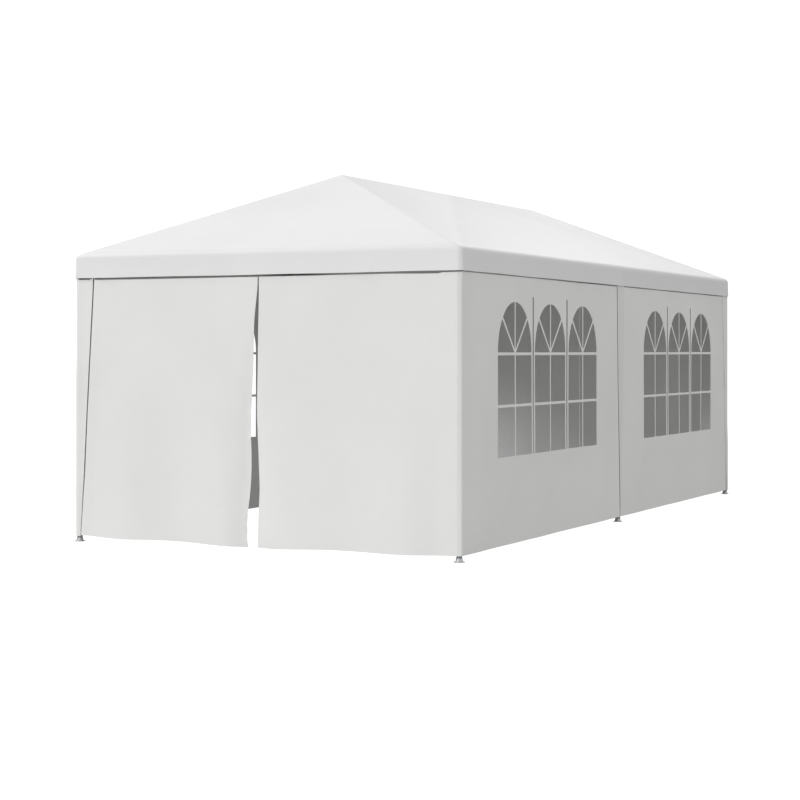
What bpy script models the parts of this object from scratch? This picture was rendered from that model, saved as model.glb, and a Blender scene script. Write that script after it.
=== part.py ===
"""Party marquee, three metres by six, in two bays under one hipped roof.

Six steel legs on round feet carry a frame of eave rails, hip rafters, side rafters and a ridge.
A one-piece roof cover with a valance lies over it. Four walls with arched windows hang along the
sides, and a pair of door curtains hangs across each end.

Metres, +Z up. The origin is on the ground under the middle. The door end in front faces -Y, and
the right-hand long side faces +X.
"""

import math

import bmesh
import bpy
from mathutils import Matrix, Vector

# Driving sizes, over the outside of the valance
LENGTH = 6.0
WIDTH = 3.0
EAVE_HEIGHT = 2.005
PEAK_HEIGHT = 2.625
RIDGE_LENGTH = 3.64
VALANCE_DEPTH = 0.146

# Sheet thicknesses, and the gap kept between pieces that touch
ROOF_SHEET = 0.003
WALL_SHEET = 0.0025
FILM_SHEET = 0.001
GAP = 0.0003

# Steel tubes and the fittings that join them
LEG_RADIUS = 0.019
RAIL_RADIUS = 0.016
EAVE_AXIS_DROP = 0.017
RIDGE_AXIS_DROP = 0.022
ARM_LENGTH = 0.09
BALL_INSET = 0.0001
ROUND_SIDES = 20

# Round foot, from the ground up
FOOT_PLATE_RADIUS = 0.0365
FOOT_PLATE_THICKNESS = 0.004
FOOT_CONE_RADIUS = 0.026
FOOT_CONE_BASE = 0.0075
FOOT_NECK_RADIUS = 0.0205
FOOT_NECK_HEIGHT = 0.026
FOOT_HEIGHT = 0.052

# Walls and door curtains
WALL_TOP = EAVE_HEIGHT - 0.020
WALL_BOTTOM = 0.040
DOOR_BOTTOM = 0.030

# Free edges of the walls: each is cut wider at the hem, so the edge slants past its leg
FIRST_EDGE_SHORT_AT_TOP = 0.068
FIRST_EDGE_PAST_AT_HEM = 0.029
SECOND_EDGE_SHORT_AT_TOP = 0.100
SECOND_EDGE_SHORT_AT_HEM = 0.007

# Tabs that pass over a leg under the next cloth's edge, and the step out from under it
CORNER_TAB = 0.142
MIDDLE_TAB = 0.100
STEP_NEAR = 0.045
STEP_FAR = 0.065

# Parting of the door curtains: the front pair hangs open towards the hem, the back pair is closed
SLIT_LINE = -0.008
SLIT_WIDTH_CLOSED = 0.001
SLIT_WIDTH_AT_FRONT_HEM = 0.086

# Window: three arched lights side by side, with a slit between each two
WINDOW_FROM_LEG = 1.495
ARCH_SPACING = 0.645
ARCH_HALF_WIDTH = 0.2875
ARCH_SPRING = 1.330
ARCH_RISE = 0.341
WINDOW_BOTTOM = 0.630
SLIT_TOP = 1.712
SLIT_HALF_WIDTH = 0.008
FILM_BORDER = 0.035
ARCH_STEPS = 16
CORNER_STEPS = 6

# Layers behind the valance, counted inwards from its outer face
OUTER_LAYER = ROOF_SHEET + GAP + WALL_SHEET / 2
INNER_LAYER = OUTER_LAYER + WALL_SHEET + GAP
FILM_LAYER = OUTER_LAYER + WALL_SHEET / 2 + GAP + FILM_SHEET / 2
LEG_INSET = INNER_LAYER + WALL_SHEET / 2 + GAP + LEG_RADIUS

LEG_X = WIDTH / 2 - LEG_INSET
LEG_Y = LENGTH / 2 - LEG_INSET
OUTER_X = WIDTH / 2 - OUTER_LAYER
OUTER_Y = LENGTH / 2 - OUTER_LAYER
INNER_X = WIDTH / 2 - INNER_LAYER
INNER_Y = LENGTH / 2 - INNER_LAYER
RAIL_Z = EAVE_HEIGHT - EAVE_AXIS_DROP
RIDGE_Z = PEAK_HEIGHT - RIDGE_AXIS_DROP
HUB_Y = RIDGE_LENGTH / 2
HALF_TURN = math.pi

for old in list(bpy.data.objects):
    bpy.data.objects.remove(old, do_unlink=True)

marquee = bpy.data.collections.new("marquee")
cutters = bpy.data.collections.new("marquee_cutters")
bpy.context.scene.collection.children.link(marquee)
bpy.context.scene.collection.children.link(cutters)


def principled(name, colour, roughness, metallic=0.0, alpha=1.0):
    material = bpy.data.materials.new(name)
    material.use_nodes = True
    shader = material.node_tree.nodes["Principled BSDF"]
    shader.inputs["Base Color"].default_value = (*colour, 1.0)
    shader.inputs["Roughness"].default_value = roughness
    shader.inputs["Metallic"].default_value = metallic
    shader.inputs["Alpha"].default_value = alpha
    return material


def roof_cloth(name):
    return principled(name, (0.86, 0.86, 0.85), 0.55)


def wall_cloth(name):
    return principled(name, (0.80, 0.80, 0.78), 0.60)


def clear_vinyl(name):
    return principled(name, (0.72, 0.74, 0.75), 0.12, alpha=0.35)


def galvanised_steel(name):
    return principled(name, (0.52, 0.53, 0.54), 0.38, metallic=0.9)


def add_part(name, data, finish, location=(0, 0, 0), turn=0.0):
    part = bpy.data.objects.new(name, data)
    part.location = location
    part.rotation_euler = (0, 0, turn)
    data.materials.append(finish(name + "_finish"))
    marquee.objects.link(part)
    return part


def add_cutter(name, data):
    cutter = bpy.data.objects.new(name, data)
    cutter.hide_render = True
    cutter.display_type = "WIRE"
    cutters.objects.link(cutter)
    return cutter


def apply_boolean(part, tool, operation):
    modifier = part.modifiers.new(operation.lower() + "_" + tool.name, "BOOLEAN")
    modifier.operation = operation
    modifier.solver = "EXACT"
    modifier.object = tool


def add_tube(name, start, end, radius):
    """A straight round bar from one fitting's arm to the next."""
    start = Vector(start)
    end = Vector(end)
    line = bpy.data.curves.new(name, "CURVE")
    line.dimensions = "3D"
    line.bevel_depth = radius
    line.bevel_resolution = ROUND_SIDES // 2 - 2
    line.use_fill_caps = True
    spline = line.splines.new("POLY")
    spline.points.add(1)
    spline.points[1].co = (*(end - start), 1.0)
    return add_part(name, line, galvanised_steel, start)


def arm_mesh(name, direction, start, end, radius):
    """A round arm along a direction, between two distances from the fitting's centre."""
    mesh = bpy.data.meshes.new(name)
    shape = bmesh.new()
    along = Vector(direction).normalized()
    turn = along.to_track_quat("Z", "Y").to_matrix().to_4x4()
    place = Matrix.Translation(along * (start + end) / 2) @ turn
    bmesh.ops.create_cone(
        shape,
        cap_ends=True,
        segments=ROUND_SIDES,
        radius1=radius,
        radius2=radius,
        depth=end - start,
        matrix=place,
    )
    shape.to_mesh(mesh)
    shape.free()
    return mesh


def add_fitting(name, centre, arms, ball_radius):
    """A ball with round arms joined to it, each arm (direction, start, radius)."""
    ball = bpy.data.meshes.new(name)
    shape = bmesh.new()
    bmesh.ops.create_uvsphere(shape, u_segments=ROUND_SIDES, v_segments=12, radius=ball_radius)
    shape.to_mesh(ball)
    shape.free()
    ball.shade_smooth()
    fitting = add_part(name, ball, galvanised_steel, centre)
    for number, (direction, start, radius) in enumerate(arms):
        arm_name = f"{name}_arm_{number}"
        arm = add_cutter(arm_name, arm_mesh(arm_name, direction, start, ARM_LENGTH, radius))
        arm.location = centre
        apply_boolean(fitting, arm, "UNION")
    return fitting


def point_along(start, towards, distance):
    start = Vector(start)
    return start + (Vector(towards) - start).normalized() * distance


def arc(centre, radius, first, last):
    """Plan points on an arc about a leg, from one angle to the other in degrees."""
    points = []
    for step in range(CORNER_STEPS + 1):
        angle = math.radians(first + (last - first) * step / CORNER_STEPS)
        points.append((centre[0] + radius * math.cos(angle), centre[1] + radius * math.sin(angle)))
    return points


def add_hanging_sheet(name, at_top, at_bottom, top, bottom, turn):
    """A hanging cloth: its plan at the top edge and at the hem, joined and given its thickness."""
    mesh = bpy.data.meshes.new(name)
    shape = bmesh.new()
    upper = [shape.verts.new((x, y, top)) for x, y in at_top]
    lower = [shape.verts.new((x, y, bottom)) for x, y in at_bottom]
    for k in range(len(upper) - 1):
        shape.faces.new((lower[k], lower[k + 1], upper[k + 1], upper[k]))
    shape.to_mesh(mesh)
    shape.free()
    sheet = add_part(name, mesh, wall_cloth, turn=turn)
    thicken(sheet, WALL_SHEET, 0.0)
    return sheet


def thicken(part, thickness, offset):
    solidify = part.modifiers.new("thickness", "SOLIDIFY")
    solidify.thickness = thickness
    solidify.offset = offset
    solidify.use_even_offset = True


# Feet and legs
def add_foot(name, x, y):
    profile = (
        (0.0, FOOT_HEIGHT),
        (LEG_RADIUS, FOOT_HEIGHT),
        (LEG_RADIUS, FOOT_NECK_HEIGHT + FOOT_PLATE_THICKNESS / 2),
        (FOOT_NECK_RADIUS, FOOT_NECK_HEIGHT),
        (FOOT_CONE_RADIUS, FOOT_CONE_BASE),
        (FOOT_PLATE_RADIUS, FOOT_PLATE_THICKNESS),
        (FOOT_PLATE_RADIUS, 0.0),
        (0.0, 0.0),
    )
    mesh = bpy.data.meshes.new(name)
    shape = bmesh.new()
    corners = [shape.verts.new((radius, 0, height)) for radius, height in profile]
    for first, second in zip(corners, corners[1:]):
        shape.edges.new((first, second))
    shape.to_mesh(mesh)
    shape.free()
    foot = add_part(name, mesh, galvanised_steel, (x, y, 0))
    turned = foot.modifiers.new("turned", "SCREW")
    turned.steps = ROUND_SIDES
    turned.render_steps = ROUND_SIDES
    turned.use_merge_vertices = True
    turned.merge_threshold = 0.0001
    return foot


SIDES = (("left", -1), ("right", 1))
ENDS = (("front", -1), ("back", 1))
STATIONS = (("front", -1), ("middle", 0), ("back", 1))

for side, across in SIDES:
    for station, along in STATIONS:
        leg_x = across * LEG_X
        leg_y = along * LEG_Y
        add_foot(f"foot_{station}_{side}", leg_x, leg_y)
        add_tube(
            f"leg_{station}_{side}",
            (leg_x, leg_y, FOOT_HEIGHT + GAP),
            (leg_x, leg_y, RAIL_Z - ARM_LENGTH - GAP),
            LEG_RADIUS,
        )

# Fittings where the tubes meet
DOWN = (0, 0, -1)
ball = LEG_RADIUS - BALL_INSET
small_ball = RAIL_RADIUS - BALL_INSET

for side, across in SIDES:
    middle = Vector((across * LEG_X, 0, RAIL_Z))
    ridge_middle = Vector((0, 0, RIDGE_Z))
    arms = (
        (DOWN, 0, LEG_RADIUS),
        ((0, 1, 0), -ARM_LENGTH, RAIL_RADIUS),
        (ridge_middle - middle, 0, RAIL_RADIUS),
    )
    add_fitting(f"eave_tee_{side}", middle, arms, ball)
    for end, along in ENDS:
        corner = Vector((across * LEG_X, along * LEG_Y, RAIL_Z))
        hub = Vector((0, along * HUB_Y, RIDGE_Z))
        arms = (
            (DOWN, 0, LEG_RADIUS),
            ((-across, 0, 0), 0, RAIL_RADIUS),
            ((0, -along, 0), 0, RAIL_RADIUS),
            (hub - corner, 0, RAIL_RADIUS),
        )
        add_fitting(f"corner_fitting_{end}_{side}", corner, arms, ball)

for end, along in ENDS:
    hub = Vector((0, along * HUB_Y, RIDGE_Z))
    arms = [((0, -along, 0), 0, RAIL_RADIUS)]
    for side, across in SIDES:
        corner = Vector((across * LEG_X, along * LEG_Y, RAIL_Z))
        arms.append((corner - hub, 0, RAIL_RADIUS))
    add_fitting(f"ridge_hub_{end}", hub, arms, small_ball)

ridge_middle = Vector((0, 0, RIDGE_Z))
arms = [((0, 1, 0), -ARM_LENGTH, RAIL_RADIUS)]
for side, across in SIDES:
    arms.append((Vector((across * LEG_X, 0, RAIL_Z)) - ridge_middle, 0, RAIL_RADIUS))
add_fitting("ridge_hub_middle", ridge_middle, arms, small_ball)


# Rails, rafters and ridge, each between two arms
def add_rail(name, first, second):
    start = point_along(first, second, ARM_LENGTH + GAP)
    end = point_along(second, first, ARM_LENGTH + GAP)
    add_tube(name, start, end, RAIL_RADIUS)


for side, across in SIDES:
    middle = (across * LEG_X, 0, RAIL_Z)
    add_rail(f"side_rafter_{side}", middle, (0, 0, RIDGE_Z))
    for end, along in ENDS:
        corner = (across * LEG_X, along * LEG_Y, RAIL_Z)
        add_rail(f"eave_rail_{end}_{side}", corner, middle)
        add_rail(f"hip_rafter_{end}_{side}", corner, (0, along * HUB_Y, RIDGE_Z))

for end, along in ENDS:
    add_rail(f"end_rail_{end}", (-LEG_X, along * LEG_Y, RAIL_Z), (LEG_X, along * LEG_Y, RAIL_Z))
    add_rail(f"ridge_tube_{end}", (0, along * HUB_Y, RIDGE_Z), (0, 0, RIDGE_Z))


# Roof cover with its valance
def add_roof_cover():
    outline = []
    for across, along, first in ((1, 1, 0), (-1, 1, 90), (-1, -1, 180), (1, -1, 270)):
        outline += arc((across * LEG_X, along * LEG_Y), LEG_INSET, first, first + 90)
    mesh = bpy.data.meshes.new("roof_cover")
    shape = bmesh.new()
    hem = [shape.verts.new((x, y, EAVE_HEIGHT - VALANCE_DEPTH)) for x, y in outline]
    eave = [shape.verts.new((x, y, EAVE_HEIGHT)) for x, y in outline]
    ridge = {along: shape.verts.new((0, along * HUB_Y, PEAK_HEIGHT)) for _, along in ENDS}
    for k in range(len(outline)):
        after = (k + 1) % len(outline)
        shape.faces.new((hem[k], hem[after], eave[after], eave[k]))
        tip = ridge[math.copysign(1, eave[k].co.y)]
        next_tip = ridge[math.copysign(1, eave[after].co.y)]
        if tip is next_tip:
            shape.faces.new((eave[k], eave[after], tip))
        else:
            shape.faces.new((eave[k], eave[after], next_tip, tip))
    shape.to_mesh(mesh)
    shape.free()
    cover = add_part("roof_cover", mesh, roof_cloth)
    thicken(cover, ROOF_SHEET, -1.0)


add_roof_cover()


# Side walls with windows. Each is cut once for the right side and once more, turned, for the left
def arch_outline(centre):
    points = [(centre + ARCH_HALF_WIDTH, WINDOW_BOTTOM)]
    for step in range(ARCH_STEPS + 1):
        angle = math.pi * step / ARCH_STEPS
        across = centre + ARCH_HALF_WIDTH * math.cos(angle)
        points.append((across, ARCH_SPRING + ARCH_RISE * math.sin(angle)))
    points.append((centre - ARCH_HALF_WIDTH, WINDOW_BOTTOM))
    return points


def slit_outline(centre):
    left = centre - SLIT_HALF_WIDTH
    right = centre + SLIT_HALF_WIDTH
    return [(left, WINDOW_BOTTOM), (right, WINDOW_BOTTOM), (right, SLIT_TOP), (left, SLIT_TOP)]


def window_cutter(name, window_y, turn):
    """The window's five openings, drawn flat and stood up across the wall."""
    drawing = bpy.data.curves.new(name, "CURVE")
    drawing.dimensions = "2D"
    drawing.fill_mode = "BOTH"
    drawing.extrude = 4 * WALL_SHEET
    outlines = [arch_outline(shift * ARCH_SPACING) for shift in (-1, 0, 1)]
    outlines += [slit_outline(shift * ARCH_SPACING / 2) for shift in (-1, 1)]
    for outline in outlines:
        spline = drawing.splines.new("POLY")
        spline.points.add(len(outline) - 1)
        for point, (across, height) in zip(spline.points, outline):
            point.co = (across, height, 0, 1)
        spline.use_cyclic_u = True
    flat = bpy.data.objects.new(name, drawing)
    stand_up = Matrix.Rotation(math.pi / 2, 4, "Z") @ Matrix.Rotation(math.pi / 2, 4, "X")
    in_wall = Matrix.Translation((OUTER_X, window_y, 0)) @ stand_up
    flat.matrix_world = Matrix.Rotation(turn, 4, "Z") @ in_wall
    cutters.objects.link(flat)
    bpy.context.view_layer.update()
    graph = bpy.context.evaluated_depsgraph_get()
    mesh = bpy.data.meshes.new_from_object(flat.evaluated_get(graph))
    shape = bmesh.new()
    shape.from_mesh(mesh)
    bmesh.ops.remove_doubles(shape, verts=shape.verts, dist=0.00001)
    bmesh.ops.recalc_face_normals(shape, faces=shape.faces)
    shape.to_mesh(mesh)
    shape.free()
    cutter = add_cutter(name + "_cutter", mesh)
    cutter.matrix_world = flat.matrix_world
    bpy.data.objects.remove(flat, do_unlink=True)
    return cutter


def add_window_wall(name, at_top, at_bottom, leg_y, turn):
    wall = add_hanging_sheet(name, at_top, at_bottom, WALL_TOP, WALL_BOTTOM, turn)
    window_y = leg_y + WINDOW_FROM_LEG
    apply_boolean(wall, window_cutter(name, window_y, turn), "DIFFERENCE")
    half_width = ARCH_SPACING + ARCH_HALF_WIDTH + FILM_BORDER
    low = WINDOW_BOTTOM - FILM_BORDER
    high = SLIT_TOP + FILM_BORDER
    centre = Matrix.Translation((WIDTH / 2 - FILM_LAYER, window_y, (low + high) / 2))
    mesh = bpy.data.meshes.new(name + "_film")
    shape = bmesh.new()
    size = Matrix.Diagonal((FILM_SHEET, 2 * half_width, high - low, 1))
    bmesh.ops.create_cube(shape, size=1.0, matrix=centre @ size)
    shape.to_mesh(mesh)
    shape.free()
    add_part(name.replace("wall", "film"), mesh, clear_vinyl, turn=turn)


for side, end_names, turn in (("right", ("front", "back"), 0.0), ("left", ("back", "front"), HALF_TURN)):
    first = arc((LEG_X, -LEG_Y), LEG_INSET - OUTER_LAYER, -90, 0)
    add_window_wall(
        f"window_wall_{end_names[0]}_{side}",
        first + [(OUTER_X, -FIRST_EDGE_SHORT_AT_TOP)],
        first + [(OUTER_X, FIRST_EDGE_PAST_AT_HEM)],
        -LEG_Y,
        turn,
    )
    second = [(INNER_X, -MIDDLE_TAB), (INNER_X, STEP_NEAR), (OUTER_X, STEP_FAR)]
    add_window_wall(
        f"window_wall_{end_names[1]}_{side}",
        second + [(OUTER_X, LEG_Y - SECOND_EDGE_SHORT_AT_TOP)],
        second + [(OUTER_X, LEG_Y - SECOND_EDGE_SHORT_AT_HEM)],
        0.0,
        turn,
    )

# Door curtains, a pair across each end. The slit between the front pair widens downwards
for end, names, turn, slit_at_hem in (
    ("front", ("left", "right"), 0.0, SLIT_WIDTH_AT_FRONT_HEM),
    ("back", ("right", "left"), HALF_TURN, SLIT_WIDTH_CLOSED),
):
    tab_end = (-INNER_X, CORNER_TAB - LENGTH / 2)
    round_corner = arc((-LEG_X, -LEG_Y), LEG_INSET - INNER_LAYER, 180, 270)
    step = [(STEP_NEAR - LEG_X, -INNER_Y), (STEP_FAR - LEG_X, -OUTER_Y)]
    wrapped = [tab_end] + round_corner + step
    add_hanging_sheet(
        f"door_curtain_{end}_{names[0]}",
        wrapped + [(SLIT_LINE - SLIT_WIDTH_CLOSED, -OUTER_Y)],
        wrapped + [(SLIT_LINE - slit_at_hem, -OUTER_Y)],
        WALL_TOP,
        DOOR_BOTTOM,
        turn,
    )
    plain = [(SLIT_LINE, -OUTER_Y), (LEG_X - GAP, -OUTER_Y)]
    add_hanging_sheet(f"door_curtain_{end}_{names[1]}", plain, plain, WALL_TOP, DOOR_BOTTOM, turn)
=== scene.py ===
"""Party marquee, three metres by six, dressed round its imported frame.

The sections follow the tent as it is put up: feet, legs and roof frame, roof cover, corner wraps,
window walls, door curtains, then the studio that it stands in.
"""

import math

import bmesh
import bpy
import numpy as np
from mathutils import Matrix, Vector
from mathutils.geometry import delaunay_2d_cdt


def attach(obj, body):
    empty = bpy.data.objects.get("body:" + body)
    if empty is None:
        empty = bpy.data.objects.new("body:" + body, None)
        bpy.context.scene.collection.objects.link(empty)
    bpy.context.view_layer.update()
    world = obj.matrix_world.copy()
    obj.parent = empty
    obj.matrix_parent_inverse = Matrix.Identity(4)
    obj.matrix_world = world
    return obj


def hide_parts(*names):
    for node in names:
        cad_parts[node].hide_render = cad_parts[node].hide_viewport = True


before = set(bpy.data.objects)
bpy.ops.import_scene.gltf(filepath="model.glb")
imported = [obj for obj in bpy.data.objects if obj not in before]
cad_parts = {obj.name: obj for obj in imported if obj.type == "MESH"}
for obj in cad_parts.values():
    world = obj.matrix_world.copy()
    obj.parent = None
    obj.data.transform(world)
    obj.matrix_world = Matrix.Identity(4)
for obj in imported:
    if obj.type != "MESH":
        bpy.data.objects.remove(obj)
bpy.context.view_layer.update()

# Feet: a pressed steel disc drawn up into a flared cone that the leg stands in, welded round its rim.
# Hot-dip galvanised after welding, so the zinc is pale, dull and faintly spangled.
LEG_X = 1.4721
LEG_Y = 2.9721
LEG_RADIUS = 0.019
CORNERS = [(x, y) for x in (-1, 1) for y in (-1, 0, 1)]
SIDE_NAMES = {-1: "left", 1: "right"}
STATION_NAMES = {-1: "front", 0: "middle", 1: "back"}


def srgb(code, alpha=1.0):
    """A hex colour as linear numbers."""
    parts = [int(code[k : k + 2], 16) / 255 for k in (1, 3, 5)]
    linear = [c / 12.92 if c <= 0.04045 else ((c + 0.055) / 1.055) ** 2.4 for c in parts]
    return (*linear, alpha)


def put_node(finish, kind, settings=None, links=None):
    """Adds a node. Capitalised settings are its sockets, the others its own options."""
    node = finish.node_tree.nodes.new(kind)
    for key, value in (settings or {}).items():
        if isinstance(key, int) or key[0].isupper():
            node.inputs[key].default_value = value
        else:
            setattr(node, key, value)
    for key, source in (links or {}).items():
        finish.node_tree.links.new(source, node.inputs[key])
    return node


def new_finish(name, sockets):
    finish = bpy.data.materials.new(name)
    finish.use_nodes = True
    shader = finish.node_tree.nodes["Principled BSDF"]
    for key, value in sockets.items():
        shader.inputs[key].default_value = value
    return finish, shader


def connect(finish, source, shader, socket):
    finish.node_tree.links.new(source, shader.inputs[socket])


ZINC_CLOUD_MM = 41.7
ZINC_GRAIN_MM = 2.38


def galvanised_zinc(name, pale, dull, roughness, spangle_mm):
    """Zinc on steel: soft grey spangle in the colour, and small changes of gloss between crystals."""
    finish, shader = new_finish(name, {"Metallic": 0.85, "Roughness": roughness})
    place = put_node(finish, "ShaderNodeTexCoord").outputs["Object"]
    spangle = put_node(finish, "ShaderNodeTexVoronoi", {"Scale": 1000 / spangle_mm}, {"Vector": place})
    cloud = put_node(
        finish,
        "ShaderNodeTexNoise",
        {"Scale": 1000 / ZINC_CLOUD_MM, "Detail": 4.0},
        {"Vector": place},
    )
    both = put_node(
        finish,
        "ShaderNodeMath",
        {"operation": "MULTIPLY_ADD", 1: 0.35},
        {0: spangle.outputs["Color"], 2: cloud.outputs["Fac"]},
    )
    tone = put_node(finish, "ShaderNodeValToRGB", links={"Fac": both.outputs[0]})
    for stop, position, colour in zip(tone.color_ramp.elements, (0.35, 0.90), (dull, pale)):
        stop.position = position
        stop.color = srgb(colour)
    connect(finish, tone.outputs["Color"], shader, "Base Color")
    gloss = put_node(
        finish,
        "ShaderNodeMapRange",
        {"From Min": 0.3, "From Max": 0.9, "To Min": roughness - 0.07, "To Max": roughness + 0.12},
        {"Value": both.outputs[0]},
    )
    connect(finish, gloss.outputs["Result"], shader, "Roughness")
    grain = put_node(
        finish,
        "ShaderNodeTexNoise",
        {"Scale": 1000 / ZINC_GRAIN_MM, "Detail": 3.0},
        {"Vector": place},
    )
    relief = put_node(
        finish,
        "ShaderNodeBump",
        {"Strength": 0.25, "Distance": 0.0004},
        {"Height": grain.outputs["Fac"]},
    )
    connect(finish, relief.outputs["Normal"], shader, "Normal")
    return finish


def new_piece(name, shape, finish):
    """A piece of the scene from a built shape, in its finish."""
    mesh = bpy.data.meshes.new(name)
    shape.to_mesh(mesh)
    shape.free()
    mesh.materials.append(finish)
    piece = bpy.data.objects.new(name, mesh)
    bpy.context.scene.collection.objects.link(piece)
    return piece


def turned(name, profile, finish, sides=40):
    """A round piece from its profile of (radius, height) points, turned about Z."""
    shape = bmesh.new()
    rings = []
    for radius, height in profile:
        if radius < 1e-6:
            rings.append([shape.verts.new((0, 0, height))])
            continue
        ring = []
        for k in range(sides):
            angle = 2 * math.pi * k / sides
            ring.append(shape.verts.new((radius * math.cos(angle), radius * math.sin(angle), height)))
        rings.append(ring)
    for below, above in zip(rings, rings[1:]):
        for k in range(sides):
            after = (k + 1) % sides
            low = [below[i % len(below)] for i in (k, after)]
            high = [above[i % len(above)] for i in (after, k)]
            face = list(dict.fromkeys(low + high))
            if len(face) > 2:
                shape.faces.new(face)
    piece = new_piece(name, shape, finish)
    piece.data.shade_smooth()
    piece.data.set_sharp_from_angle(angle=math.radians(50))
    return piece


def keep(piece, slot_name, *nodes):
    """Every piece rides on the tent's one body and stands for its nodes. Its slot name is not used."""
    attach(piece, "root")
    if nodes:
        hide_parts(*nodes)


foot_zinc = galvanised_zinc("dull_galvanised_foot", "#cfd1d1", "#9a9d9e", 0.55, 9)
FOOT_RIM = [
    (0.0, 0.0), (0.0345, 0.0), (0.0359, 0.0004), (0.0365, 0.0014), (0.0365, 0.0028), (0.0358, 0.0038),
]
FOOT_CONE = [
    (0.0344, 0.0042), (0.0305, 0.0046), (0.0272, 0.0056), (0.0250, 0.0074), (0.0236, 0.0100),
    (0.0226, 0.0140), (0.0220, 0.0185), (0.0217, 0.0225), (0.0215, 0.0250), (0.0211, 0.0262),
]
FOOT_SOCKET = [
    (0.0202, 0.0267), (0.0193, 0.0266), (0.0191, 0.0258), (0.0191, 0.0200), (0.0, 0.0200),
]
FOOT_PROFILE = FOOT_RIM + FOOT_CONE + FOOT_SOCKET
for across, along in CORNERS:
    node = f"foot_{STATION_NAMES[along]}_{SIDE_NAMES[across]}"
    foot = turned(node.replace("foot", "round_foot"), FOOT_PROFILE, foot_zinc)
    foot.location = (across * LEG_X, along * LEG_Y, 0)
    keep(foot, "foot_steel", node)

# Legs: 38 mm thin-walled steel tube in two lengths, the upper one swaged to slip into the lower and
# held there by a sprung button. Zinc plated, a little brighter than the feet.
RAIL_Z = 1.988
ARM = 0.09
JOINT_HEIGHT = 1.02
TUBE_GAP = 0.0003
LEG_FOOT = 0.0203
LEG_HEAD = RAIL_Z - ARM - TUBE_GAP
BUTTON_BELOW_JOINT = 0.035
BUTTON_PROFILE = [
    (0.0, -0.0006), (0.0043, -0.0006), (0.0042, 0.0012), (0.0036, 0.0024), (0.0022, 0.0032), (0.0, 0.0034),
]


def stand(piece, place, direction):
    """Turns a piece made along Z to point along a direction from a place."""
    turn = Vector(direction).to_track_quat("Z", "Y").to_matrix().to_4x4()
    piece.data.transform(Matrix.Translation(place) @ turn)


leg_zinc = galvanised_zinc("zinc_plated_leg_tube", "#b9bcbe", "#85898c", 0.36, 14)
for across, along in CORNERS:
    node = f"leg_{STATION_NAMES[along]}_{SIDE_NAMES[across]}"
    swaged = LEG_RADIUS - 0.0004
    leg_profile = [
        (0.0, LEG_FOOT), (0.0178, LEG_FOOT), (LEG_RADIUS, LEG_FOOT + 0.0012), (LEG_RADIUS, JOINT_HEIGHT),
        (LEG_RADIUS - 0.0010, JOINT_HEIGHT + 0.0008), (LEG_RADIUS - 0.0016, JOINT_HEIGHT + 0.0016),
        (LEG_RADIUS - 0.0016, JOINT_HEIGHT + 0.0030), (swaged, JOINT_HEIGHT + 0.0120),
        (swaged, LEG_HEAD - 0.0012), (0.0174, LEG_HEAD), (0.0, LEG_HEAD),
    ]
    leg = turned(node.replace("leg", "leg_tube"), leg_profile, leg_zinc, 36)
    leg.location = (across * LEG_X, along * LEG_Y, 0)
    keep(leg, "leg_tube", node)
    button = turned(node.replace("leg", "leg_button"), BUTTON_PROFILE, leg_zinc, 16)
    button_place = (across * (LEG_X - LEG_RADIUS), along * LEG_Y, JOINT_HEIGHT - BUTTON_BELOW_JOINT)
    stand(button, button_place, (-across, 0, 0))
    keep(button, "leg_tube")

# Roof frame: 32 mm steel tube. Each tube ends in a fitting, a knuckle with welded sleeves, and a
# sprung button locks it in the sleeve. Zinc plated, duller on the welded fittings.
RIDGE_Z = 2.603
HUB_Y = 1.82
RAIL_RADIUS = 0.016
BUTTON_FROM_END = 0.03
WELD_TOLERANCE = 0.00004
rail_zinc = galvanised_zinc("zinc_plated_roof_tube", "#b6b9bb", "#82868a", 0.34, 14)
fitting_zinc = galvanised_zinc("welded_galvanised_fitting", "#b3b6b7", "#7e8284", 0.46, 9)


def add_rail(node, start, end):
    """A tube between two fittings, with its two buttons on the underside."""
    start, end = Vector(start), Vector(end)
    along = (end - start).normalized()
    length = (end - start).length - 2 * (ARM + TUBE_GAP)
    rail_profile = [
        (0.0, 0.0), (0.0150, 0.0), (RAIL_RADIUS, 0.0010), (RAIL_RADIUS, length / 2),
        (RAIL_RADIUS, length - 0.0010), (0.0150, length), (0.0, length),
    ]
    rail = turned(node + "_tube", rail_profile, rail_zinc, 32)
    first = start + along * (ARM + TUBE_GAP)
    stand(rail, first, along)
    keep(rail, "roof_tube", node)
    down = (Vector((0, 0, -1)) + along * along.z).normalized()
    places = (first + along * BUTTON_FROM_END, first + along * (length - BUTTON_FROM_END))
    for number, at in enumerate(places):
        button = turned(f"{node}_button_{number + 1}", BUTTON_PROFILE, rail_zinc, 16)
        stand(button, at + down * RAIL_RADIUS, down)
        keep(button, "roof_tube")


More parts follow.
